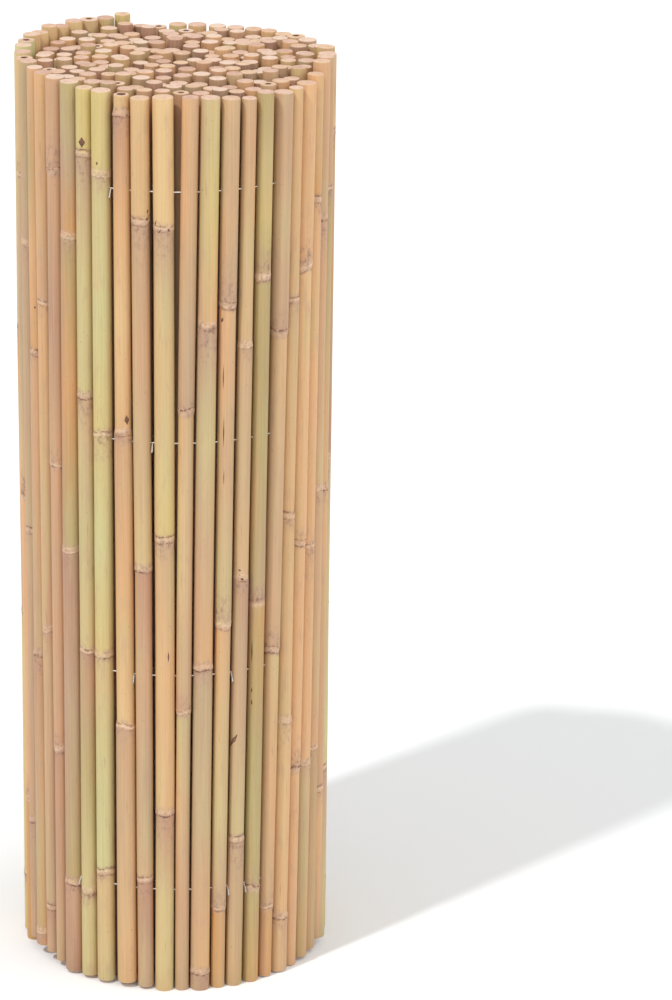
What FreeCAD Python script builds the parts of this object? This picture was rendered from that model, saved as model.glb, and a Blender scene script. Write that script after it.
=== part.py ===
import FreeCAD
import Part
import math
import os
import random

os.makedirs("parts", exist_ok=True)

# A bamboo fence panel rolled up for storage, standing on the ends of its canes.
# Every cane is drilled at four heights and threaded on four galvanised wires.
# The wires wind outwards, clockwise seen from above, and the free edge of the
# panel is at the back of the roll. +Z is up and the front faces -Y.

# Canes
cane_length = 1000.0
slim_cane = 16.5
stout_cane = 19.0
slim_outer_cane = 17.4
largest_outer_cane = 21.5
taper = 1.0
foot_unevenness = 4.0
top_unevenness = 9.0
stock_count = 18
open_stock_cane = 5
open_end_share = 0.1
bore_diameter = 6.5
bore_depth = 45.0

# Rings at the nodes of the canes of the outer turn
ring_rise = 0.5
ring_length = 7.0
node_spacing = 320.0
node_scatter = 45.0
node_end_space = 60.0
node_clearance = 2.5

# Wires
wire_diameter = 1.5
foot_wire_height = 118.0
lower_wire_height = 367.0
upper_wire_height = 628.0
top_wire_inset = 101.0
hole_clearance = 0.35
drill_step = 0.5
wire_tail = 2.0
wire_bend = 3.0
wire_hook = 14.0

# The roll
turn_count = 8
core_radius = 13.8
cane_gap = 1.5
loose_gap = 2.8
turn_clearance = 0.4
free_edge_angle = 93.0
front_angle = -91.5
front_gap_top = 8.8
front_gap_foot = 1.5
lean_recovery = 12

# Canes of the outer turn to the left of the front gap, from the gap leftwards. Each row
# holds the foot and top diameters, the gaps to the cane before it at the top and at the
# foot, how far it starts above the floor and ends above the cane length (below it where
# negative), its node heights, and whether its top end shows its bore.
left_front_canes = [
    (19.9, 21.5, 0.0, 0.0, 0.0, -1.0, (212, 524, 863), False),
    (17.6, 19.8, 3.0, 1.5, 3.0, -3.0, (131, 490, 869), False),
    (21.5, 16.0, 1.8, 1.5, 6.0, -1.0, (309, 637, 981), True),
    (20.0, 20.5, 4.6, 4.2, 3.5, 1.0, (134, 387, 633, 915), False),
    (18.5, 17.5, 1.5, 1.5, 4.0, 1.0, (104, 387, 673, 933), False),
    (21.5, 19.5, 1.5, 1.8, 3.0, 4.0, (111, 497, 842), False),
    (15.5, 20.5, 1.5, 1.5, 7.0, 5.0, (259, 585, 906), False),
    (16.0, 19.0, 2.0, 1.5, 11.0, 5.0, (66, 394, 760), False),
    (20.0, 16.5, 2.0, 2.2, 12.0, 6.0, (30, 359, 700), False),
    (18.0, 18.5, 2.0, 2.0, 12.0, 8.0, (155, 494, 815), False),
]

# Canes of the outer turn to the right of the front gap, from the gap rightwards
right_front_canes = [
    (15.0, 17.3, 0.0, 0.0, 0.0, -1.0, (326, 663), False),
    (21.0, 20.0, 1.8, 1.5, 0.0, -2.0, (23, 379, 756), False),
    (15.5, 19.0, 2.4, 1.5, 0.0, -4.0, (94, 423, 777), False),
    (18.4, 15.5, 3.2, 1.5, 0.0, -6.0, (175, 473, 733), False),
    (17.8, 17.5, 3.2, 2.2, 0.0, -2.0, (111, 445, 802), False),
    (15.5, 20.5, 5.4, 2.4, 1.0, -6.0, (83, 384, 738), False),
    (20.5, 15.0, 1.5, 1.5, 1.5, -5.0, (69, 299, 532, 770), False),
    (15.0, 20.5, 1.5, 1.5, 0.5, -4.0, (233, 495, 800), False),
    (18.5, 17.0, 1.6, 1.6, 4.0, 1.0, (236, 487, 868), False),
    (18.0, 18.5, 1.6, 2.0, 5.0, 10.0, (247, 545, 845), False),
    (18.5, 18.0, 2.2, 2.2, 8.0, 10.0, (190, 539, 870), False),
]

# How far the canes at the back end above the cane length, from the front rows backwards
back_left_tops = (6.0, 8.0, 10.0, 10.0, 12.0, 9.0, 12.0, 8.0, 10.0, 8.5, 7.5, 9.5, -5.5, -9.0)
back_right_tops = (8.0, 10.0, 5.5, 1.0, 3.0, 2.5, 1.0, 1.5, 0.5, 0.0, 0.0, 0.5, 0.5, -1.0)

# Sizes that follow
wire_radius = wire_diameter / 2
top_wire_height = cane_length - top_wire_inset
wire_heights = [foot_wire_height, lower_wire_height, upper_wire_height, top_wire_height]
quarters_per_turn = 4
quarter_turn = math.pi / 2
quarter_count = quarters_per_turn * turn_count
inner_pitch = stout_cane + turn_clearance
outer_pitch = (largest_outer_cane + stout_cane) / 2 + ring_rise + turn_clearance
search_steps = 30
floor = FreeCAD.Vector(0, 0, 0)
up = FreeCAD.Vector(0, 0, 1)
chance = random.Random(165)


# The wires wind as quarter circles, each wider than the one before and tangent to it. The
# wider pitch of the outer turn starts in the turn below it.
def spiral_quarters():
    quarters = []
    centre = floor
    radius = core_radius
    angle = math.radians(free_edge_angle)
    start = 0.0
    for index in range(quarter_count):
        length = radius * quarter_turn
        quarters.append((centre, radius, angle, start, length))
        start += length
        angle -= quarter_turn
        pitch = outer_pitch if index >= quarter_count - 2 * quarters_per_turn else inner_pitch
        radial = FreeCAD.Vector(math.cos(angle), math.sin(angle), 0)
        centre = centre - radial * (pitch / quarters_per_turn)
        radius += pitch / quarters_per_turn
    return quarters


quarters = spiral_quarters()
core_length = quarters[quarters_per_turn][3]
outer_turn_start = quarters[-quarters_per_turn][3]
spiral_length = quarters[-1][3] + quarters[-1][4]


def quarter_number(distance):
    for number, quarter in enumerate(quarters):
        if distance < quarter[3] + quarter[4]:
            return number
    return quarter_count - 1


# Point on a wire at a distance along it, with the outward direction and the turn radius
def wire_point(distance):
    centre, radius, angle, start, length = quarters[quarter_number(distance)]
    here = angle - (distance - start) / radius
    outward = FreeCAD.Vector(math.cos(here), math.sin(here), 0)
    return centre + outward * radius, outward, radius


# The holes are straight, so a wire bows by this much inside a cane
def bow(cane_radius, turn_radius):
    return cane_radius ** 2 / (2 * turn_radius)


def cane_centre(distance, cane_radius):
    point, outward, turn_radius = wire_point(distance)
    return point - outward * (bow(cane_radius, turn_radius) / 2)


def drill_radius(cane_radius, turn_radius):
    needed = wire_diameter + bow(cane_radius, turn_radius) + 2 * hole_clearance
    return math.ceil(needed / drill_step) * drill_step / 2


# Distance along the wires of the next cane, outwards (1) or inwards (-1) from its neighbour
def next_distance(distance, radius, next_radius, gap, direction):
    here = cane_centre(distance, radius)
    reach = radius + next_radius + gap
    near = 0.0
    far = 2 * reach
    for _ in range(search_steps):
        middle = (near + far) / 2
        there = cane_centre(distance + direction * middle, next_radius)
        if here.distanceToPoint(there) < reach:
            near = middle
        else:
            far = middle
    return distance + direction * far


# A node stays clear of the holes for the wires
def clear_of_wires(height):
    nearest = min(wire_heights, key=lambda wire: abs(wire - height))
    room = ring_length / 2 + wire_diameter / 2 + node_clearance
    if abs(height - nearest) >= room:
        return height
    return nearest + (room if height >= nearest else -room)


def drill(centre, along, hole_radius, cane_diameter):
    start = centre - along * cane_diameter
    return Part.makeCylinder(hole_radius, 2 * cane_diameter, start, along)


def bore(top):
    start = FreeCAD.Vector(0, 0, top - bore_depth)
    return Part.makeCylinder(bore_diameter / 2, 2 * bore_depth, start)


# Outer turn: a cane's place along the wires at its top and at its foot, so that it can lean
def placed_cane(row, top_at, foot_at):
    foot_diameter, top_diameter, top_gap, foot_gap, raised, over, nodes, open_end = row
    return {"foot_radius": foot_diameter / 2, "top_radius": top_diameter / 2, "top_at": top_at,
            "foot_at": foot_at, "raised": raised, "end": cane_length + over, "nodes": nodes,
            "open_end": open_end}


def place_next(last, row, direction):
    foot_diameter, top_diameter, top_gap, foot_gap = row[:4]
    top_at = next_distance(last["top_at"], last["top_radius"], top_diameter / 2, top_gap, direction)
    foot_at = next_distance(last["foot_at"], last["foot_radius"], foot_diameter / 2, foot_gap, direction)
    return placed_cane(row, top_at, foot_at)


def random_nodes():
    heights = []
    height = chance.uniform(node_end_space, node_spacing)
    while height < cane_length - node_end_space:
        heights.append(height)
        height += node_spacing + chance.uniform(-node_scatter, node_scatter)
    return heights


def random_foot():
    return chance.choice([0.0, chance.uniform(0, foot_unevenness)])


# A cane at the back, with its gap widened at one end to bring the lean back
def back_row(top_ahead, recovery, over):
    foot_diameter = chance.uniform(slim_outer_cane, stout_cane)
    top_diameter = foot_diameter + chance.uniform(-taper, taper)
    gap = chance.uniform(cane_gap, loose_gap)
    step = min(abs(top_ahead), recovery)
    top_gap = gap + (step if top_ahead < 0 else 0)
    foot_gap = gap + (step if top_ahead > 0 else 0)
    open_end = chance.random() < open_end_share
    return (foot_diameter, top_diameter, top_gap, foot_gap, random_foot(), over, random_nodes(), open_end)


# From the front gap one way round: the visible canes, then those at the back to the limit
def outer_side(rows, back_tops, direction, first_top_gap, first_foot_gap, limit):
    foot_diameter, top_diameter = rows[0][:2]
    top_at = front_at + direction * (first_top_gap + top_diameter / 2)
    foot_at = front_at + direction * (first_foot_gap + foot_diameter / 2)
    side = [placed_cane(rows[0], top_at, foot_at)]
    for row in rows[1:]:
        side.append(place_next(side[-1], row, direction))
    recovery = abs(side[-1]["top_at"] - side[-1]["foot_at"]) / lean_recovery
    while True:
        top_ahead = direction * (side[-1]["top_at"] - side[-1]["foot_at"])
        number = len(side) - len(rows)
        over = back_tops[number] if number < len(back_tops) else 0.0
        cane = place_next(side[-1], back_row(top_ahead, recovery, over), direction)
        if direction * (limit - cane["top_at"]) < 0 or direction * (limit - cane["foot_at"]) < 0:
            return side
        side.append(cane)


turned = math.radians(free_edge_angle - front_angle)
front_quarter = quarters[quarter_count - quarters_per_turn + int(turned / quarter_turn)]
front_at = front_quarter[3] + (turned % quarter_turn) * front_quarter[1]
free_edge_limit = spiral_length - largest_outer_cane / 2 - wire_tail - wire_bend
left_side = outer_side(left_front_canes, back_left_tops, 1, 0, 0, free_edge_limit)
right_gaps = (front_gap_top, front_gap_foot)
right_side = outer_side(right_front_canes, back_right_tops, -1, *right_gaps, outer_turn_start)
outer_canes = left_side[::-1] + right_side


# A cane with a ring at each node, tapered in steps from ring to ring, along +Z from its foot
def ringed_cane(foot_radius, top_radius, length, nodes):
    step = (top_radius - foot_radius) / len(nodes)
    radius = foot_radius
    corner = FreeCAD.Vector(radius, 0, 0)
    edges = [Part.makeLine(floor, corner)]
    for node in nodes:
        below = FreeCAD.Vector(radius, 0, node - ring_length / 2)
        crest = FreeCAD.Vector(radius + step / 2 + ring_rise, 0, node)
        radius += step
        above = FreeCAD.Vector(radius, 0, node + ring_length / 2)
        edges.append(Part.makeLine(corner, below))
        edges.append(Part.Arc(below, crest, above).toShape())
        corner = above
    rim = FreeCAD.Vector(radius, 0, length)
    top = FreeCAD.Vector(0, 0, length)
    edges.append(Part.makeLine(corner, rim))
    edges.append(Part.makeLine(rim, top))
    edges.append(Part.makeLine(top, floor))
    return Part.Face(Part.Wire(edges)).revolve(floor, up, 360)


# A leaning cane stands on the lowest point of its end, and is drilled along the wires
def outer_cane(cane):
    foot = cane_centre(cane["foot_at"], cane["foot_radius"])
    top = cane_centre(cane["top_at"], cane["top_radius"])
    axis = (top - foot + up * cane_length).normalize()
    lift = cane["raised"] + cane["foot_radius"] * math.sin(axis.getAngle(up))
    length = cane["end"] - lift
    nodes = [clear_of_wires(node) - lift for node in cane["nodes"]]
    nodes = [node for node in nodes if ring_length < node < length - ring_length]
    shape = ringed_cane(cane["foot_radius"], cane["top_radius"], length, nodes)
    if cane["open_end"]:
        shape = shape.cut(bore(length))
    foot = foot + up * lift
    shape.Placement = FreeCAD.Placement(foot, FreeCAD.Rotation(up, axis))
    holes = []
    for height in wire_heights:
        share = height / cane_length
        distance = cane["foot_at"] + (cane["top_at"] - cane["foot_at"]) * share
        radius = cane["foot_radius"] + (cane["top_radius"] - cane["foot_radius"]) * share
        outward, turn_radius = wire_point(distance)[1:]
        centre = foot + axis * ((height - lift) / axis.z)
        holes.append(drill(centre, outward.cross(up), drill_radius(radius, turn_radius), 2 * radius))
    return shape.cut(Part.makeCompound(holes))


# Canes of the inner turns come from a stock of a few shapes, with the holes along X
stock = []
for number in range(stock_count):
    diameter = slim_cane + (stout_cane - slim_cane) * number / (stock_count - 1)
    end = cane_length + chance.uniform(-0.5, 0.5) * top_unevenness
    stock.append((diameter / 2, random_foot(), end, number == open_stock_cane))
drilled_stock = {}


def stock_cane(kind, hole_radius):
    if (kind, hole_radius) not in drilled_stock:
        radius, raised, end, open_end = kind
        shape = Part.makeCylinder(radius, end - raised, FreeCAD.Vector(0, 0, raised))
        cuts = []
        for height in wire_heights:
            centre = FreeCAD.Vector(0, 0, height)
            cuts.append(drill(centre, FreeCAD.Vector(1, 0, 0), hole_radius, 2 * radius))
        if open_end:
            cuts.append(bore(end))
        drilled_stock[(kind, hole_radius)] = shape.cut(Part.makeCompound(cuts))
    return drilled_stock[(kind, hole_radius)].copy()


# The inner canes follow on inwards from the last cane of the outer turn: each is a stock
# cane and its distance along the wires. The slimmest ones wind the tight core.
def inner_places():
    places = []
    last = outer_canes[-1]
    distance = min(last["top_at"], last["foot_at"])
    radius = max(last["top_radius"], last["foot_radius"])
    while True:
        kind = stock[0] if distance < core_length else chance.choice(stock)
        gap = chance.uniform(cane_gap, loose_gap)
        distance = next_distance(distance, radius, kind[0], gap, -1)
        radius = kind[0]
        if distance < radius + wire_tail + wire_bend:
            return places
        places.append((kind, distance))


inner_canes = inner_places()


def inner_cane(kind, distance):
    outward, turn_radius = wire_point(distance)[1:]
    shape = stock_cane(kind, drill_radius(kind[0], turn_radius))
    along = outward.cross(up)
    turned = math.degrees(math.atan2(along.y, along.x))
    shape.Placement = FreeCAD.Placement(cane_centre(distance, kind[0]), FreeCAD.Rotation(up, turned))
    return shape


# Wires: quarter arcs along the spiral, with each end bent down beside the last cane
def arc_between(start, end):
    middle = wire_point((start + end) / 2)[0]
    return Part.Arc(wire_point(start)[0], middle, wire_point(end)[0]).toShape()


def hook(point, along):
    below = point - up * wire_bend
    middle = below + (along + up) * (wire_bend / math.sqrt(2))
    turned_down = below + along * wire_bend
    bend = Part.Arc(point, middle, turned_down).toShape()
    return [bend, Part.makeLine(turned_down, turned_down - up * wire_hook)]


def wire_solid():
    last_kind, last_distance = inner_canes[-1]
    free_edge_cane = outer_canes[0]
    start = last_distance - last_kind[0] - wire_tail
    end = free_edge_cane["top_at"] + free_edge_cane["top_radius"] + wire_tail
    joints = [quarter[3] for quarter in quarters if start < quarter[3] < end]
    marks = [start] + joints + [end]
    run = [arc_between(a, b) for a, b in zip(marks, marks[1:])]
    start_point, start_outward = wire_point(start)[:2]
    end_point, end_outward = wire_point(end)[:2]
    inner_hook = hook(start_point, up.cross(start_outward))
    outer_hook = hook(end_point, end_outward.cross(up))
    path = Part.Wire(inner_hook[::-1] + run + outer_hook)
    tip = inner_hook[-1].Vertexes[-1].Point
    section = Part.Wire([Part.makeCircle(wire_radius, tip, up)])
    return path.makePipeShell([section], True, False)


# The whole roll is centred on the origin
def roll_middle():
    low_x = low_y = float("inf")
    high_x = high_y = float("-inf")
    for cane in outer_canes:
        for end in ("foot", "top"):
            radius = cane[end + "_radius"]
            centre = cane_centre(cane[end + "_at"], radius)
            low_x = min(low_x, centre.x - radius)
            high_x = max(high_x, centre.x + radius)
            low_y = min(low_y, centre.y - radius)
            high_y = max(high_y, centre.y + radius)
    return FreeCAD.Vector((low_x + high_x) / 2, (low_y + high_y) / 2, 0)


nodes = {}
for number, cane in enumerate(outer_canes, 1):
    nodes[f"cane_{number:02d}"] = outer_cane(cane)
turns = {}
for kind, distance in inner_canes:
    turn = turn_count - quarter_number(distance) // quarters_per_turn
    turn = min(max(turn, 2), turn_count - 1)
    turns.setdefault(turn, []).append(inner_cane(kind, distance))
for turn, canes in turns.items():
    nodes[f"turn_{turn}_canes"] = Part.makeCompound(canes)
wire = wire_solid()
for number, height in enumerate(wire_heights, 1):
    nodes[f"wire_{number}"] = wire.translated(up * height)
middle = roll_middle()
for name, shape in nodes.items():
    shape.translated(-middle).exportStep(f"parts/{name}.step")
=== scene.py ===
import math
import random

import bmesh
import bpy
from mathutils import Matrix, Vector


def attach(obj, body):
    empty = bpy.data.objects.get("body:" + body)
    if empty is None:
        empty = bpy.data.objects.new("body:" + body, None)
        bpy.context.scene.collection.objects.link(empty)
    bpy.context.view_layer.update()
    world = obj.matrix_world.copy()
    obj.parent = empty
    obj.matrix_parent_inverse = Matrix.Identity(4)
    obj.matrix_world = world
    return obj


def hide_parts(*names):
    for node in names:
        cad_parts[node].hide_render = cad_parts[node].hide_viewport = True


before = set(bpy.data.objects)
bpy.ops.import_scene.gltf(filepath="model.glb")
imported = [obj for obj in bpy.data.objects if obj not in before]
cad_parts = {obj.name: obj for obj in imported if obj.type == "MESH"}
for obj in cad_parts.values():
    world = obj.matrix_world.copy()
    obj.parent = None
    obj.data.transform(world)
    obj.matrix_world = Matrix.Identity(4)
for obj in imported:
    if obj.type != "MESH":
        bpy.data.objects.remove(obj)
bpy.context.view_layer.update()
mm = 0.001
chance = random.Random(11)


def linear(hexColour):
    # an sRGB hex colour as linear red, green and blue
    channels = [int(hexColour[i:i + 2], 16) / 255 for i in (1, 3, 5)]
    return [c / 12.92 if c <= 0.04045 else ((c + 0.055) / 1.055) ** 2.4 for c in channels]


def addNode(tree, kind, settings=None, links=None):
    # settings: properties and input values; links: the output that feeds each input
    node = tree.nodes.new(kind)
    for name, value in (settings or {}).items():
        if isinstance(name, int) or name in node.inputs:
            node.inputs[name].default_value = value
        else:
            setattr(node, name, value)
    for name, socket in (links or {}).items():
        tree.links.new(socket, node.inputs[name])
    return node


def newMaterial(name):
    material = bpy.data.materials.new(name)
    material.use_nodes = True
    material.node_tree.nodes.clear()
    return material


def finishMaterial(material, shader):
    addNode(material.node_tree, "ShaderNodeOutputMaterial", links={"Surface": shader.outputs[0]})
    return material


def grain(tree, place, width, length, detail=3.0, roughness=0.55):
    # a pattern drawn out along the canes; width and length of its features in millimetres
    scale = [1 / (width * mm), 1 / (width * mm), 1 / (length * mm)]
    spread = addNode(tree, "ShaderNodeMapping", {"Scale": scale}, {"Vector": place})
    settings = {"Scale": 1.0, "Detail": detail, "Roughness": roughness}
    return addNode(tree, "ShaderNodeTexNoise", settings, {"Vector": spread.outputs[0]}).outputs[0]


def layOver(tree, colour, layers):
    # lays tints over a colour (a hex colour or an output) in turn: least of a tint where its
    # pattern is low, most where it is high, and none where its mask is 0
    for pattern, low, high, least, most, mask, tint in layers:
        ranges = {"From Min": low, "From Max": high, "To Min": least, "To Max": most}
        amount = addNode(tree, "ShaderNodeMapRange", ranges, {"Value": pattern}).outputs[0]
        if mask:
            masked = addNode(tree, "ShaderNodeMath", {"operation": "MULTIPLY"}, {0: amount, 1: mask})
            amount = masked.outputs[0]
        settings = {"data_type": "RGBA", 7: [*linear(tint), 1]}
        links = {0: amount}
        if isinstance(colour, str):
            settings[6] = [*linear(colour), 1]
        else:
            links[6] = colour
        colour = addNode(tree, "ShaderNodeMix", settings, links).outputs[2]
    return colour


# Sun-dried bamboo. The culm skin is satin with a little wax left on it, streaked along its
# fibres, clouded warm and cool and faintly stained, with pale and dark lines and a mauve
# blush at each node.
bamboo = {
    "fibreSize": (1.6, 110), "cloudSize": (26, 150), "stainSize": (8, 34), "blotchSize": (4.5, 7),
    "speckSize": (2.0, 4), "hairlineSize": (1.8, 40), "breakSize": (3.2, 2.4),
    "warm": "#dca274", "cool": "#c0b983", "stain": "#bb9780",
    "fibreDark": "#9c754c", "fibrePale": "#f2d8a8",
    "blush": "#b6907b", "smudge": "#876d58", "pale": "#f0cfae", "dark": "#7b4f3c",
    "speck": "#8a6750", "hairline": "#85603f",
    "roughnessLow": 0.42, "roughnessHigh": 0.58, "ior": 1.45, "bumpHeight": 0.06, "bumpStrength": 0.5,
}


def culmSkin():
    material = newMaterial("sunDriedBambooSkin")
    tree = material.node_tree
    place = addNode(tree, "ShaderNodeTexCoord").outputs["Object"]
    tone = addNode(tree, "ShaderNodeAttribute", {"attribute_name": "tone"}).outputs["Color"]
    marks = addNode(tree, "ShaderNodeAttribute", {"attribute_name": "marks"}).outputs["Color"]
    pale, dark, blush = addNode(tree, "ShaderNodeSeparateColor", links={0: marks}).outputs

    fibre = grain(tree, place, *bamboo["fibreSize"], detail=2.0, roughness=0.5)
    cloud = grain(tree, place, *bamboo["cloudSize"])
    stain = grain(tree, place, *bamboo["stainSize"], detail=4.0, roughness=0.6)
    blotch = grain(tree, place, *bamboo["blotchSize"], detail=5.0, roughness=0.7)
    speck = grain(tree, place, *bamboo["speckSize"], detail=2.0)
    hairline = grain(tree, place, *bamboo["hairlineSize"], detail=1.0)
    breaks = grain(tree, place, *bamboo["breakSize"], detail=2.0)
    colour = layOver(tree, tone, [
        (cloud, 0.52, 0.7, 0.0, 0.3, None, bamboo["warm"]),
        (cloud, 0.48, 0.3, 0.0, 0.35, None, bamboo["cool"]),
        (stain, 0.54, 0.72, 0.0, 0.4, None, bamboo["stain"]),
        (fibre, 0.5, 0.3, 0.0, 0.13, None, bamboo["fibreDark"]),
        (fibre, 0.5, 0.7, 0.0, 0.1, None, bamboo["fibrePale"]),
        (blotch, 0.36, 0.6, 0.1, 0.9, blush, bamboo["blush"]),
        (blotch, 0.52, 0.64, 0.0, 0.75, blush, bamboo["smudge"]),
        (breaks, 0.35, 0.55, 0.2, 0.9, pale, bamboo["pale"]),
        (breaks, 0.58, 0.46, 0.0, 0.9, dark, bamboo["dark"]),
        (speck, 0.7, 0.78, 0.0, 0.55, None, bamboo["speck"]),
        (hairline, 0.71, 0.8, 0.0, 0.35, None, bamboo["hairline"]),
    ])
    ranges = {"From Min": 0.3, "From Max": 0.7, "To Min": bamboo["roughnessLow"],
              "To Max": bamboo["roughnessHigh"]}
    roughness = addNode(tree, "ShaderNodeMapRange", ranges, {"Value": fibre}).outputs[0]
    settings = {"Strength": bamboo["bumpStrength"], "Distance": bamboo["bumpHeight"] * mm}
    bump = addNode(tree, "ShaderNodeBump", settings, {"Height": fibre}).outputs[0]
    shader = addNode(tree, "ShaderNodeBsdfPrincipled", {"IOR": bamboo["ior"]},
                     {"Base Color": colour, "Roughness": roughness, "Normal": bump})
    return finishMaterial(material, shader)


# The sawn end: dry, matt end grain, dotted with the darker ends of the fibre bundles. The
# dots are drawn larger than life so that they show.
sawnEnd = {"bundleSpacing": 1.2, "bundle": "#b58a68", "cloudSize": (6, 6), "shade": "#b98f70",
           "light": "#f1d8bb", "roughness": 0.8, "ior": 1.45, "bumpHeight": 0.1, "bumpStrength": 0.4}


def endGrain():
    material = newMaterial("sawnBambooEndGrain")
    tree = material.node_tree
    place = addNode(tree, "ShaderNodeTexCoord").outputs["Object"]
    tone = addNode(tree, "ShaderNodeAttribute", {"attribute_name": "tone"}).outputs["Color"]
    settings = {"Scale": 1 / (sawnEnd["bundleSpacing"] * mm)}
    bundles = addNode(tree, "ShaderNodeTexVoronoi", settings, {"Vector": place}).outputs[0]
    cloud = grain(tree, place, *sawnEnd["cloudSize"])
    colour = layOver(tree, tone, [
        (cloud, 0.5, 0.7, 0.0, 0.3, None, sawnEnd["light"]),
        (cloud, 0.5, 0.3, 0.0, 0.35, None, sawnEnd["shade"]),
        (bundles, 0.34, 0.12, 0.0, 0.5, None, sawnEnd["bundle"]),
    ])
    settings = {"Strength": sawnEnd["bumpStrength"], "Distance": sawnEnd["bumpHeight"] * mm}
    bump = addNode(tree, "ShaderNodeBump", settings, {"Height": bundles}).outputs[0]
    settings = {"Roughness": sawnEnd["roughness"], "IOR": sawnEnd["ior"]}
    shader = addNode(tree, "ShaderNodeBsdfPrincipled", settings, {"Base Color": colour, "Normal": bump})
    return finishMaterial(material, shader)


# The hollow of a cane, a dormant bud or the stub of a side shoot: dark, dry and rough
driedPith = {"base": "#7a5541", "dark": "#4a3023", "light": "#9a755a", "fleckSize": (0.8, 1.6),
             "roughness": 0.75, "ior": 1.45}


def darkPith():
    material = newMaterial("driedBambooPith")
    tree = material.node_tree
    place = addNode(tree, "ShaderNodeTexCoord").outputs["Object"]
    flecks = grain(tree, place, *driedPith["fleckSize"], detail=2.0)
    colour = layOver(tree, driedPith["base"], [
        (flecks, 0.5, 0.35, 0.0, 0.9, None, driedPith["dark"]),
        (flecks, 0.5, 0.7, 0.0, 0.8, None, driedPith["light"]),
    ])
    settings = {"Roughness": driedPith["roughness"], "IOR": driedPith["ior"]}
    shader = addNode(tree, "ShaderNodeBsdfPrincipled", settings, {"Base Color": colour})
    return finishMaterial(material, shader)


# Drawn and zinc-plated steel wire, dulled by handling: pale grey with a soft shine
zinc = {"spangleSize": (1.2, 1.2), "base": "#e4e1da", "dull": "#bdb9b1", "metallic": 0.8,
        "roughnessLow": 0.35, "roughnessHigh": 0.55}


def galvanisedWire():
    material = newMaterial("galvanisedDrawnSteelWire")
    tree = material.node_tree
    place = addNode(tree, "ShaderNodeTexCoord").outputs["Object"]
    spangle = grain(tree, place, *zinc["spangleSize"])
    colour = layOver(tree, zinc["base"], [(spangle, 0.4, 0.65, 0.0, 0.8, None, zinc["dull"])])
    ranges = {"From Min": 0.3, "From Max": 0.7, "To Min": zinc["roughnessLow"],
              "To Max": zinc["roughnessHigh"]}
    roughness = addNode(tree, "ShaderNodeMapRange", ranges, {"Value": spangle}).outputs[0]
    shader = addNode(tree, "ShaderNodeBsdfPrincipled", {"Metallic": zinc["metallic"]},
                     {"Base Color": colour, "Roughness": roughness})
    return finishMaterial(material, shader)


skinMaterial = culmSkin()
endMaterial = endGrain()
pithMaterial = darkPith()
wireMaterial = galvanisedWire()
print("materials ready")


# Tones of bamboo skin
tones = {
    "straw": "#d6b381", "cream": "#dfbd88", "honey": "#daab7a", "rose": "#c99f7b",
    "clay": "#b48870", "reed": "#ccba84", "lime": "#d3bd7a", "olive": "#b6a06d",
    "ash": "#bd9e7e", "sand": "#c9a880", "amber": "#cd9a61", "peach": "#e0b080", "sage": "#cdc68d",
}

# Tones down each front cane, one string for each stretch between nodes from the top down,
# the looks of its nodes from the top down, whether it was threaded root end up, and how far
# it bows to the right in millimetres
frontCanes = {
    "cane_15": (["olive ash", "ash rose", "rose", "clay rose"], "213", False, 0),
    "cane_16": (["sand olive honey amber", "rose ash", "clay ash olive", "clay"], "132", False, 0),
    "cane_17": (["honey rose", "honey rose", "rose ash", "clay ash"], "021", False, 0),
    "cane_18": (["rose", "rose clay sand", "rose", "clay rose"], "304", True, 0),
    "cane_19": (["olive ash amber", "olive amber olive", "clay ash olive", "rose clay"], "223", False, 0),
    "cane_20": (["lime", "ash reed reed", "sand reed", "clay olive reed", "reed"], "1305", False, 0),
    "cane_21": (["lime", "reed sage lime", "lime sage lime", "reed sage", "straw reed"], "2031", False, 0),
    "cane_22": (["straw", "clay honey cream honey", "rose honey cream", "ash sand straw"], "350", False, 0),
    "cane_23": (["straw", "ash rose sand reed", "clay rose ash sand", "clay ash"], "131", False, 0),
    "cane_24": (["cream", "ash reed reed lime", "sand honey straw", "clay reed reed"], "013", False, 1.5),
    "cane_25": (["honey honey sand ash", "straw cream rose", "reed straw rose sand"], "30", True, -1.5),
    "cane_26": (["reed lime honey", "ash reed sand honey", "ash sand honey", "clay"], "533", False, -0.8),
    "cane_27": (["sand sand ash", "peach sand reed", "honey straw reed ash", "amber"], "140", True, -0.4),
    "cane_28": (["rose honey straw", "sand sand straw", "clay ash reed", "ash olive"], "251", False, 0),
    "cane_29": (["olive reed lime olive", "olive olive ash", "amber olive olive", "olive amber"], "453",
                True, 0),
    "cane_30": (["ash sand ash", "straw sand sand", "reed honey rose", "amber"], "310", True, 0),
    "cane_31": (["honey straw", "sand straw honey", "honey straw", "cream honey", "rose"], "0123", False, 0),
    "cane_32": (["peach peach", "cream peach", "peach", "peach rose"], "413", True, 0),
    "cane_33": (["honey amber", "honey peach honey", "honey peach", "sand olive"], "102", False, 0),
    "cane_34": (["honey rose", "rose straw", "sand honey", "olive"], "320", False, 0),
    "cane_35": (["rose", "olive honey", "honey rose", "peach rose"], "031", False, 0),
}

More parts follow.
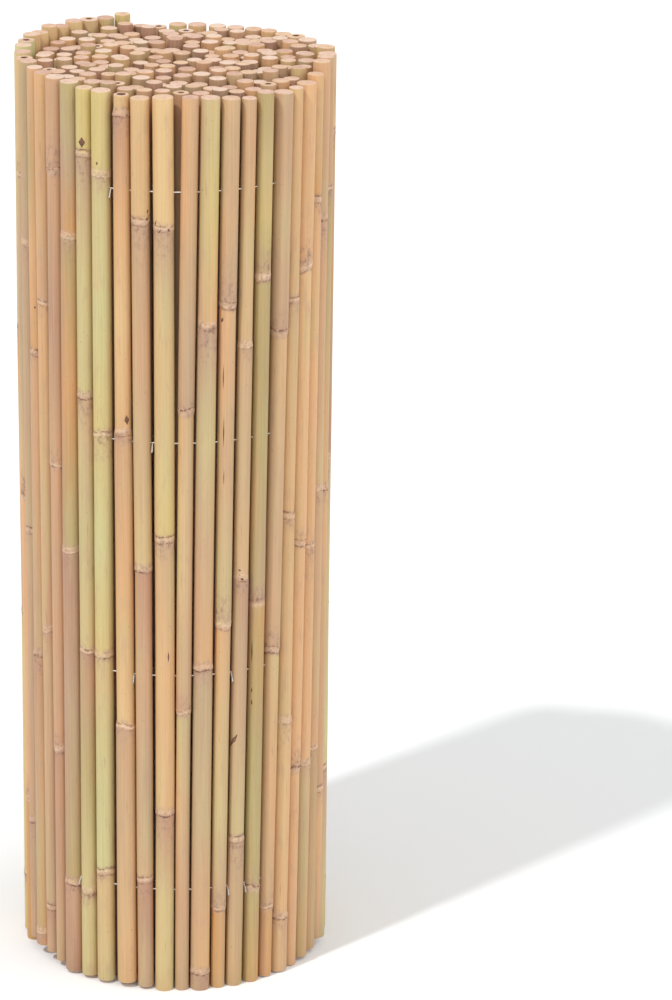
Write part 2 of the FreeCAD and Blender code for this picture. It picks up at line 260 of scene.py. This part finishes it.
# Buds, stubs of side shoots and dark flecks on the front canes: height, angle round the cane,
# length, width and tilt
darkMarks = {
    "cane_16": ((749, -110, 3, 2, 0),),
    "cane_20": ((945, -107, 11, 7, 0),),
    "cane_21": ((926, -116, 4, 2.2, 0),),
    "cane_22": ((653, -67, 11, 5.4, 6),),
    "cane_23": ((879, -43, 5, 2.2, 0), (871, -48, 4, 2.6, 15)),
    "cane_24": ((860, -112, 6, 1.8, -35), (861, -60, 4, 2.8, 50), (868, -140, 8, 1.6, -20),
                (392, -70, 12, 1.7, 0)),
    "cane_27": ((762, -128, 6, 3, -20), (700, -112, 28, 1.2, 0), (640, -104, 36, 1.3, 0),
                (590, -98, 20, 1, 0)),
    "cane_28": ((290, -120, 18, 4.4, -30), (474, -80, 4, 3, 60), (484, -100, 4, 2.2, 80)),
    "cane_29": ((388, -118, 26, 1.8, 0), (344, -114, 7, 1.6, 0), (330, -113, 7, 1.8, 0)),
}


def toneOf(hexColour):
    return Vector(linear(hexColour))


def toneAt(cane, stretches, height):
    # the tone at a height, from the stretch it lies in
    nodes = cane["heights"]
    below = sum(1 for node in nodes if node < height)
    names = stretches[max(0, len(stretches) - 1 - below)].split()
    bottom = nodes[below - 1] if below else 0.0
    top = nodes[below] if below < len(nodes) else cane["length"]
    share = (top - height) / (top - bottom) * (len(names) - 1)
    first = min(int(share), len(names) - 1)
    second = min(first + 1, len(names) - 1)
    return toneOf(tones[names[first]]).lerp(toneOf(tones[names[second]]), share - first)


def nodesOf(kind):
    # the frame's nodes of one kind, in the order of their names
    return sorted(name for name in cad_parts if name.startswith(kind))


# Reading the CAD canes: their end discs give place and size, and the vertices of their rings
# the nodes. Sizes in millimetres. Ends are looked for within a reach of the highest or lowest
# one, and vertices near a wire's hole or near an end belong to no node.
cadCanes = {
    "wires": (118, 367, 628, 899), "holeReach": 2.7, "endReach": 8, "ringLength": 7, "discReach": 2,
    "footUnevenness": 6, "topUnevenness": 16, "mergeWithin": 0.005, "boreShare": 0.8, "skinShare": 0.6,
}


def endDiscs(node, atTop, reach):
    # centre, radius and bore radius of each flat end within reach of the node's top or foot,
    # in a fixed order
    heights = [v.co.z for v in node.data.vertices]
    low = max(heights) - reach * mm if atTop else min(heights)
    bm = bmesh.new()
    bm.from_mesh(node.data)
    outside = [v for v in bm.verts if not low <= v.co.z <= low + reach * mm]
    bmesh.ops.delete(bm, geom=outside, context="VERTS")
    bmesh.ops.remove_doubles(bm, verts=bm.verts, dist=cadCanes["mergeWithin"] * mm)
    left = set(bm.verts)
    discs = []
    while left:
        island = [left.pop()]
        for v in island:
            for edge in v.link_edges:
                other = edge.other_vert(v)
                if other in left:
                    left.remove(other)
                    island.append(other)
        xs, ys, zs = zip(*(v.co for v in island))
        centre = Vector((min(xs) + max(xs), min(ys) + max(ys), min(zs) + max(zs))) / 2
        radius = (max(xs) - min(xs)) / 2
        nearest = min((v.co - centre).xy.length for v in island)
        discs.append((centre, radius, nearest if nearest < radius * cadCanes["boreShare"] else 0.0))
    bm.free()
    return sorted(discs, key=lambda disc: tuple(disc[0]))


def cadNodes(node, foot, footRadius, axis):
    # the height of each ring on a CAD cane, with the cane's radius below and above it
    points = sorted(((v.co - foot).dot(axis), v.co) for v in node.data.vertices)
    length = points[-1][0]
    end = cadCanes["endReach"] * mm
    groups = []
    for height, point in points:
        radius = (foot + axis * height - point).length
        fromWire = min(abs(point.z - wire * mm) for wire in cadCanes["wires"])
        onSkin = end < height < length - end and radius >= footRadius * cadCanes["skinShare"]
        if not onSkin or fromWire < cadCanes["holeReach"] * mm:
            continue
        if not groups or height - groups[-1][-1][0] > end:
            groups.append([])
        groups[-1].append((height, radius))
    found = [((group[0][0] + group[-1][0]) / 2, group[0][1], group[-1][1]) for group in groups]
    return found, length


# One cane of the outer turn. At a node the skin flares out over a sharp sheath scar and eases
# back beyond it. Sizes are in millimetres, and distances from a node run along the growing
# direction. The inset, drop and clearance of a rim are shares of its rounding. The mouth of a
# bore is worn wide at the front and only eased at the back.
culm = {
    "sides": 28, "mergeWithin": 0.002,
    "rimRound": 0.9, "rimInset": 0.35, "rimDrop": 0.2, "rimClearance": 1.5,
    "flareRise": 0.7, "flareFrom": -3.4, "flareStep": 0.8, "flareLength": 9.0,
    "nodeSteps": (-34, -22, -14, -9, -6.5, -5.2, -4.4, -3.8, -3.4, -2.9, -2.2, -1.5, -0.8, 0, 0.8, 1.6,
                  2.4, 3.2, 4.2, 5.5, 8, 14),
    "leastStep": 0.35, "stretchSteps": 6, "boreDepth": 44.0, "mouthWorn": 1.5, "mouthEased": 0.4,
    "mouthDepth": 6, "sway": 0.35, "oval": 0.012, "kinkReach": 120, "slant": 0.8, "slantReach": 12,
    "wobble": 0.9, "blushBack": (16, 50), "blushAhead": 7, "blushFade": 1.2, "sideBlend": 0.6,
    "sideTurn": (0.8, 1.8), "markStand": 0.3, "mostStand": 0.8,
}

# Lines that nodes show, as distance beyond the node, half width and strength, and how much
# each kind of node flares and blushes
nodeLooks = (
    {"pale": ((-0.8, 1.4, 1.0), (0, 6, 0.4)), "dark": ((1.8, 1.3, 1.0), (-3.8, 1.2, 0.5)),
     "flare": 0.5, "blush": 0.8},
    {"pale": ((0.2, 4.5, 0.6),), "dark": ((3.4, 1.4, 1.2), (-4.2, 1.2, 0.8)), "flare": 0.5, "blush": 1.0},
    {"pale": ((2.6, 1.1, 0.8), (-2.4, 1.2, 0.9), (0, 7, 0.5)), "dark": ((-4.2, 1.2, 0.5),),
     "flare": 0.4, "blush": 0.8},
    {"pale": ((0, 6, 0.4),), "dark": ((-4.0, 1.7, 1.3),), "flare": 1.0, "blush": 1.0},
    {"pale": ((-1.5, 6.0, 0.8),), "dark": ((3.6, 1.1, 1.1),), "flare": 0.3, "blush": 1.2},
    {"pale": ((4.0, 4.0, 0.6),), "dark": ((-2.0, 1.6, 0.8),), "flare": 0.3, "blush": 1.5},
)


def nodeRise(t):
    # how far the skin stands out at t beyond a node, as a share of the flare
    if t < culm["flareFrom"]:
        return max(0.0, 1 + (t - culm["flareFrom"]) / culm["flareStep"])
    return max(0.0, 1 - (t - culm["flareFrom"]) / culm["flareLength"]) ** 2


def nodeMarks(t, look):
    # pale line, dark line and blush at t beyond a node
    lines = [max(strength * max(0.0, 1 - abs(t - at) / half) for at, half, strength in look[kind])
             for kind in ("pale", "dark")]
    if t > 0:
        blush = max(0.0, 1 - (t / culm["blushAhead"]) ** 2)
    else:
        blush = max(0.0, 1 + t / look["blushBack"]) ** culm["blushFade"]
    return [*lines, min(1.0, blush * look["blush"])]


def chanceLooks(lookNumbers):
    # the looks of a cane's nodes from the foot up, with the blush, slant and wobble of each
    looks = []
    for number in reversed(lookNumbers):
        look = dict(nodeLooks[int(number)])
        look["flare"] *= culm["flareRise"] * mm
        look["blushBack"] = chance.uniform(*culm["blushBack"])
        look["slant"] = chance.uniform(-1, 1) * culm["slant"] * mm
        look["wobble"] = [chance.uniform(0, math.tau) for _ in range(3)]
        looks.append(look)
    return looks


def readCane(name, lookNumbers, upsideDown, bow):
    # place and sizes of a CAD cane, and its nodes with their looks
    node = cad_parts[name]
    foot, footRadius, _ = endDiscs(node, False, cadCanes["discReach"])[0]
    top, topRadius, bore = endDiscs(node, True, cadCanes["discReach"])[0]
    axis = (top - foot).normalized()
    nodes, length = cadNodes(node, foot, footRadius, axis)
    return {
        "foot": foot, "axis": axis, "length": length, "footRadius": footRadius, "topRadius": topRadius,
        "bore": bore, "nodes": nodes, "heights": [at for at, _, _ in nodes],
        "looks": chanceLooks(lookNumbers), "grows": -1 if upsideDown else 1, "bow": bow * mm,
    }


def profileHeights(cane):
    # close steps at each node and wide ones between, clear of the rims
    heights = {at + cane["grows"] * step * mm for at in cane["heights"] for step in culm["nodeSteps"]}
    stretchEnds = [0.0, *cane["heights"], cane["length"]]
    for low, high in zip(stretchEnds, stretchEnds[1:]):
        for i in range(1, culm["stretchSteps"]):
            heights.add(low + (high - low) * i / culm["stretchSteps"])
    edge = culm["rimRound"] * mm * culm["rimClearance"]
    inside = sorted(h for h in heights if edge < h < cane["length"] - edge)
    kept = inside[:1]
    for h in inside[1:]:
        if h - kept[-1] > culm["leastStep"] * mm:
            kept.append(h)
    return kept


def culmRadius(cane, height):
    # the taper, which lies in the rings at the nodes
    radius = cane["footRadius"]
    for at, below, above in cane["nodes"]:
        share = min(1.0, max(0.0, (height - at) / (cadCanes["ringLength"] * mm) + 0.5))
        radius += (above - below) * share
    return radius


def culmProfile(cane, mouthWear):
    # radius and height from the foot up, with a softened rim at each end, and the bore where
    # the end is open
    rim = culm["rimRound"] * mm
    inset, drop = rim * culm["rimInset"], rim * culm["rimDrop"]
    radius, length, bore = cane["footRadius"], cane["length"], cane["bore"]
    corners = [(0, 0), (radius - rim, 0), (radius - inset, drop), (radius, rim)]
    for height in profileHeights(cane):
        rise = sum(nodeRise((height - at) / mm * cane["grows"]) * look["flare"]
                   for at, look in zip(cane["heights"], cane["looks"]))
        corners.append((culmRadius(cane, height) + rise, height))
    radius = cane["topRadius"]
    corners += [(radius, length - rim), (radius - inset, length - drop), (radius - rim, length)]
    if bore:
        depth = length - culm["boreDepth"] * mm
        mouth = bore + mouthWear * mm
        corners += [(mouth, length), (mouth - culm["mouthEased"] * mm, length - mm),
                    (bore, length - culm["mouthDepth"] * mm), (bore, depth), (0, depth)]
    else:
        corners.append((0, length))
    return corners


def spinProfile(bm, corners, sides):
    # turns a line of (radius, height) about Z
    verts = [bm.verts.new((radius, 0, height)) for radius, height in corners]
    edges = [bm.edges.new(pair) for pair in zip(verts, verts[1:])]
    bmesh.ops.spin(bm, geom=verts + edges, cent=(0, 0, 0), axis=(0, 0, 1), angle=math.tau,
                   steps=sides, use_merge=True)
    bmesh.ops.remove_doubles(bm, verts=bm.verts, dist=culm["mergeWithin"] * mm)
    bmesh.ops.recalc_face_normals(bm, faces=bm.faces)


# The materials of a cane's faces, in the order that the faces count them
bambooMaterials = (skinMaterial, endMaterial, pithMaterial)
skinFace, endFace, pithFace = range(3)
levelNormal = 0.95  # a face whose normal stands at least this upright is a flat end
endTones = ("#dfbca6", "#d9b4a0", "#e4c4ae", "#dcb79b", "#e6cab6", "#cfa792", "#dfbd9e")


def paintLayers(bm):
    # the two attributes that the materials read
    for name in ("tone", "marks"):
        bm.verts.layers.float_color.new(name)
    return bm.verts.layers.float_color["tone"], bm.verts.layers.float_color["marks"]


def paintCulm(bm, cane, stretches):
    # the tone of each stretch, with another of the cane's tones down one side, and the marks
    # of the nodes, which wobble round the cane
    toneLayer, marksLayer = paintLayers(bm)
    sideTone = toneOf(tones[chance.choice(" ".join(stretches).split())])
    outward = math.atan2(cane["foot"].y, cane["foot"].x)
    sideAngle = outward + chance.choice((-1, 1)) * chance.uniform(*culm["sideTurn"])
    for v in bm.verts:
        angle = math.atan2(v.co.y, v.co.x)
        shown = []
        for at, look in zip(cane["heights"], cane["looks"]):
            waves = sum(math.sin((i + 2) * angle + turn) / (i + 1) for i, turn in enumerate(look["wobble"]))
            shown.append(nodeMarks((v.co.z - at) / mm * cane["grows"] + waves * culm["wobble"], look))
        share = culm["sideBlend"] * (0.5 + 0.5 * math.cos(angle - sideAngle)) ** 2
        v[toneLayer] = (*toneAt(cane, stretches, v.co.z).lerp(sideTone, share), 1)
        v[marksLayer] = (*(max(column) for column in zip(*shown)), 1)

    endTone = toneOf(chance.choice(endTones))
    rim = culm["rimRound"] * mm
    length, bore = cane["length"], cane["bore"]
    for face in bm.faces:
        face.smooth = True
        centre = face.calc_center_median()
        inBore = bore and centre.z > length / 2 and centre.xy.length < bore + culm["mouthWorn"] * mm
        if inBore and centre.z < length - culm["mouthEased"] * mm:
            face.material_index = pithFace
        elif abs(face.normal.z) > levelNormal and not rim <= centre.z <= length - rim:
            face.material_index = endFace
    for v in bm.verts:
        if any(face.material_index == endFace for face in v.link_faces):
            v[toneLayer] = (*endTone, 1)


def bendCulm(bm, cane):
    # a slight oval, a slow sway and bow along the cane, a small kink and a slant at each node
    turned = chance.uniform(0, math.pi)
    phase = chance.uniform(0, math.tau)
    kinkReach, slantReach = culm["kinkReach"] * mm, culm["slantReach"] * mm
    for v in bm.verts:
        angle = math.atan2(v.co.y, v.co.x)
        v.co.xy *= 1 + culm["oval"] * math.cos(2 * (angle - turned))
        share = v.co.z / cane["length"]
        kinks = 0.0
        for i, (at, look) in enumerate(zip(cane["heights"], cane["looks"])):
            away = abs(v.co.z - at)
            kinks += (-1) ** i * max(0.0, 1 - away / kinkReach)
            if away < slantReach:
                v.co.z += look["slant"] * math.cos(angle - phase) * (1 - away / slantReach)
        curve = math.sin(math.pi * share)
        sway = culm["sway"] * mm * curve * (math.sin(math.tau * share + phase) + kinks)
        v.co.x += sway * math.cos(phase) + cane["bow"] * curve
        v.co.y += sway * math.sin(phase)


def addDarkMark(bm, cane, height, angle, long, wide, tilt):
    # a long lozenge sunk in the skin
    along = (height * mm - cane["foot"].z) / cane["axis"].z
    shift = cane["bow"] * math.sin(math.pi * along / cane["length"])
    stand = min(wide * culm["markStand"], culm["mostStand"])
    size = Matrix.Diagonal((stand * mm, wide * mm / 2, long * mm / 2, 1))
    place = (Matrix.Translation((shift, 0, 0)) @ Matrix.Rotation(math.radians(angle), 4, "Z")
             @ Matrix.Translation((culmRadius(cane, along), 0, along))
             @ Matrix.Rotation(math.radians(tilt), 4, "X"))
    made = bmesh.ops.create_uvsphere(bm, u_segments=12, v_segments=2, radius=1, matrix=place @ size)
    for v in made["verts"]:
        for face in v.link_faces:
            face.material_index = pithFace
            face.smooth = True


def finishPiece(bm, name, cadName):
    # a piece of bamboo that stands for a CAD node
    mesh = bpy.data.meshes.new(name)
    bm.to_mesh(mesh)
    bm.free()
    for material in bambooMaterials:
        mesh.materials.append(material)
    piece = bpy.data.objects.new(name, mesh)
    bpy.context.scene.collection.objects.link(piece)
    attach(piece, "root")
    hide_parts(cadName)


def makeCulm(name, stretches, lookNumbers, upsideDown, bow):
    cane = readCane(name, lookNumbers, upsideDown, bow)
    mouthWear = culm["mouthWorn"] if name in frontCanes else culm["mouthEased"]
    bm = bmesh.new()
    spinProfile(bm, culmProfile(cane, mouthWear), culm["sides"])
    paintCulm(bm, cane, stretches)
    bendCulm(bm, cane)
    for mark in darkMarks.get(name, ()):
        addDarkMark(bm, cane, *mark)
    upright = Vector((0, 0, 1)).rotation_difference(cane["axis"]).to_matrix().to_4x4()
    bmesh.ops.transform(bm, matrix=Matrix.Translation(cane["foot"]) @ upright, verts=bm.verts)
    finishPiece(bm, name + "_culm", name)


toneNames = sorted(tones)
upsideDownShare = 0.3  # of the canes that the front doesn't show


def chanceCane():
    # a cane at the back, whose tone changes a little at each node
    stretches = [" ".join(chance.choices(toneNames, k=chance.choice((1, 2, 3)))) for _ in range(5)]
    return stretches, "".join(chance.choices("012345", k=4)), chance.random() < upsideDownShare, 0


for name in nodesOf("cane_"):
    makeCulm(name, *(frontCanes.get(name) or chanceCane()))
print("canes of the outer turn built")


# Canes of the inner turns: only their ends and narrow strips of skin show. Their skin is
# painted darker than that of the outer turn, by a share drawn at random for each cane: painted shade for the
# hollow between the outer canes.
innerCane = {"sides": 18, "rimRound": 0.7, "darkestPaintedShade": 0.64, "lightestPaintedShade": 0.94}
innerTones = ("rose", "peach", "rose", "clay", "honey", "rose", "peach", "clay", "straw", "sand")


def makeInnerTurn(name):
    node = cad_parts[name]
    tops = endDiscs(node, True, cadCanes["topUnevenness"])
    bm = bmesh.new()
    toneLayer, marksLayer = paintLayers(bm)
    for foot, radius, _ in endDiscs(node, False, cadCanes["footUnevenness"]):
        others = set(bm.faces)
        top, _, bore = min(tops, key=lambda disc: (disc[0].xy - foot.xy).length)
        length = top.z - foot.z
        place = Matrix.Translation(foot + Vector((0, 0, length / 2)))
        bmesh.ops.create_cone(bm, cap_ends=True, segments=innerCane["sides"], radius1=radius,
                              radius2=radius, depth=length, matrix=place)
        topFace = max((face for face in bm.faces if face not in others),
                      key=lambda face: face.calc_center_median().z)
        bmesh.ops.bevel(bm, geom=list(topFace.edges), offset=innerCane["rimRound"] * mm,
                        affect="EDGES", segments=2, profile=0.5, material=-1)
        faces = [face for face in bm.faces if face not in others]
        skin = toneOf(tones[chance.choice(innerTones)])
        # painted shade: the skin tone is darkened by a share drawn at random, standing for the shade inside
        # the roll
        skin *= chance.uniform(innerCane["darkestPaintedShade"], innerCane["lightestPaintedShade"])
        cut = toneOf(chance.choice(endTones))
        for face in faces:
            face.smooth = True
            face.material_index = endFace if abs(face.normal.z) > levelNormal else skinFace
            for v in face.verts:
                v[toneLayer] = (*skin, 1)
                v[marksLayer] = (0, 0, 0, 1)
        for face in faces:
            if face.material_index == endFace:
                for v in face.verts:
                    v[toneLayer] = (*cut, 1)
                if bore and face.calc_center_median().z > top.z - mm:
                    openEnd(bm, face, radius - innerCane["rimRound"] * mm - bore)
    finishPiece(bm, name + "_culms", name)


def openEnd(bm, face, wall):
    # sinks a bore into a cane's top face, leaving the wall round it
    bmesh.ops.inset_region(bm, faces=[face], thickness=wall)
    floor = bmesh.ops.extrude_discrete_faces(bm, faces=[face])["faces"][0]
    bmesh.ops.translate(bm, verts=floor.verts, vec=(0, 0, -culm["boreDepth"] * mm))
    for edge in floor.edges:
        for side in edge.link_faces:
            side.material_index = pithFace


for name in nodesOf("turn_"):
    makeInnerTurn(name)
print("inner turns built")

# The wires keep their CAD form
for name in nodesOf("wire_"):
    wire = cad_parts[name]
    wire.data.materials.clear()
    wire.data.materials.append(wireMaterial)
print("wires finished")


# Ties where the ends of two lengths of wire are twisted together and folded down. Sizes in
# millimetres. Each lies between two canes on one of the wires, counted from the foot.
tie = {"wire": 0.9, "turns": 2.5, "twistRadius": 0.6, "length": 9, "standOff": 6, "steps": 30}
tiePlaces = (
    ("cane_21", "cane_22", 4), ("cane_23", "cane_24", 3), ("cane_22", "cane_23", 2),
    ("cane_27", "cane_28", 2), ("cane_19", "cane_20", 1), ("cane_27", "cane_28", 1),
    ("cane_28", "cane_29", 1),
)


def axisPoint(name, height):
    # the middle of a cane at a height
    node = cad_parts[name]
    foot = endDiscs(node, False, cadCanes["discReach"])[0][0]
    top = endDiscs(node, True, cadCanes["discReach"])[0][0]
    return foot.lerp(top, (height * mm - foot.z) / (top.z - foot.z))


def makeTie(number, left, right, wireNumber):
    height = cadCanes["wires"][wireNumber - 1]
    a, b = axisPoint(left, height), axisPoint(right, height)
    across = (b - a).normalized()
    outward = across.cross(Vector((0, 0, 1)))
    start = (a + b) / 2
    data = bpy.data.curves.new(f"wire_tie_{number}", "CURVE")
    data.dimensions = "3D"
    data.bevel_depth = tie["wire"] / 2 * mm
    data.bevel_resolution = 2
    data.materials.append(wireMaterial)
    for strand in range(2):
        points = []
        for i in range(tie["steps"] + 1):
            share = i / tie["steps"]
            turned = math.pi * strand + math.tau * tie["turns"] * share
            aside = across * math.cos(turned) + outward * math.sin(turned)
            middle = start + outward * tie["standOff"] * math.sqrt(share) * mm
            middle.z -= tie["length"] * share * mm
            # the strands part over the first third
            points.append(middle + aside * tie["twistRadius"] * min(1.0, share * 3) * mm)
        spline = data.splines.new("POLY")
        spline.points.add(len(points) - 1)
        for point, place in zip(spline.points, points):
            point.co = (*place, 1)
    piece = bpy.data.objects.new(data.name, data)
    bpy.context.scene.collection.objects.link(piece)
    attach(piece, "root")


for number, place in enumerate(tiePlaces, 1):
    makeTie(number, *place)
print("ties made")


# Camera at the photograph's viewing angle, a white floor, a key light from the front left
# that throws the shadow, and a broad fill from the front right
studio = {
    "cameraPlace": (0.0013, -4.4143, 2.0998), "pitch": 19.833, "yaw": 2.247, "roll": 0.764,
    "lens": 155.49, "sensorWidth": 36, "clipEnd": 100, "floorSize": 60.0,
    "floorSeen": "#fcfeff", "floorLit": "#efefef",
    "keyFrom": (-0.735, -0.678, 1.42), "keyAngle": 3.0, "keyStrength": 1.35,
    "fillFrom": (0.85, -0.6, 0.9), "fillAngle": 90.0, "fillStrength": 0.9,
    "domeStrength": 0.63,
}


def makeCamera():
    data = bpy.data.cameras.new("camera")
    data.lens = studio["lens"]
    data.sensor_width = studio["sensorWidth"]
    data.clip_end = studio["clipEnd"]
    camera = bpy.data.objects.new("camera", data)
    turns = (Matrix.Rotation(math.radians(-studio["yaw"]), 4, "Z")
             @ Matrix.Rotation(math.radians(90 - studio["pitch"]), 4, "X")
             @ Matrix.Rotation(math.radians(studio["roll"]), 4, "Z"))
    camera.matrix_world = Matrix.Translation(studio["cameraPlace"]) @ turns
    bpy.context.scene.collection.objects.link(camera)
    bpy.context.scene.camera = camera


def seenWhite(tree):
    # 1 for rays that should meet the white background: from the camera, or off metal and glass
    rays = addNode(tree, "ShaderNodeLightPath").outputs
    seen = rays["Is Camera Ray"]
    for kind in ("Is Glossy Ray", "Is Transmission Ray"):
        seen = addNode(tree, "ShaderNodeMath", {"operation": "MAXIMUM"}, {0: seen, 1: rays[kind]}).outputs[0]
    return seen


def makeFloor():
    bm = bmesh.new()
    bmesh.ops.create_grid(bm, x_segments=1, y_segments=1, size=studio["floorSize"] / 2)
    mesh = bpy.data.meshes.new("floor")
    bm.to_mesh(mesh)
    bm.free()
    floor = bpy.data.objects.new("floor", mesh)
    bpy.context.scene.collection.objects.link(floor)
    material = newMaterial("paleStudioFloor")
    tree = material.node_tree
    settings = {"data_type": "RGBA", 6: [*linear(studio["floorLit"]), 1],
                7: [*linear(studio["floorSeen"]), 1]}
    colour = addNode(tree, "ShaderNodeMix", settings, {0: seenWhite(tree)}).outputs[2]
    shader = addNode(tree, "ShaderNodeBsdfDiffuse", {}, {"Color": colour})
    finishMaterial(material, shader)
    mesh.materials.append(material)


def makeLight():
    for name in ("key", "fill"):
        sun = bpy.data.lights.new(name, "SUN")
        sun.energy = studio[name + "Strength"]
        sun.angle = math.radians(studio[name + "Angle"])
        lamp = bpy.data.objects.new(name, sun)
        lamp.rotation_euler = Vector(studio[name + "From"]).to_track_quat("Z", "Y").to_euler()
        bpy.context.scene.collection.objects.link(lamp)
    world = bpy.data.worlds.new("studio")
    bpy.context.scene.world = world
    world.use_nodes = True
    tree = world.node_tree
    tree.nodes.clear()
    settings = {"To Min": studio["domeStrength"], "To Max": 1.0}
    strength = addNode(tree, "ShaderNodeMapRange", settings, {"Value": seenWhite(tree)})
    dome = addNode(tree, "ShaderNodeBackground", {"Color": [1, 1, 1, 1]}, {"Strength": strength.outputs[0]})
    addNode(tree, "ShaderNodeOutputWorld", links={"Surface": dome.outputs[0]})


makeCamera()
makeFloor()
makeLight()
bpy.context.scene.view_settings.view_transform = "Standard"
print("studio ready")
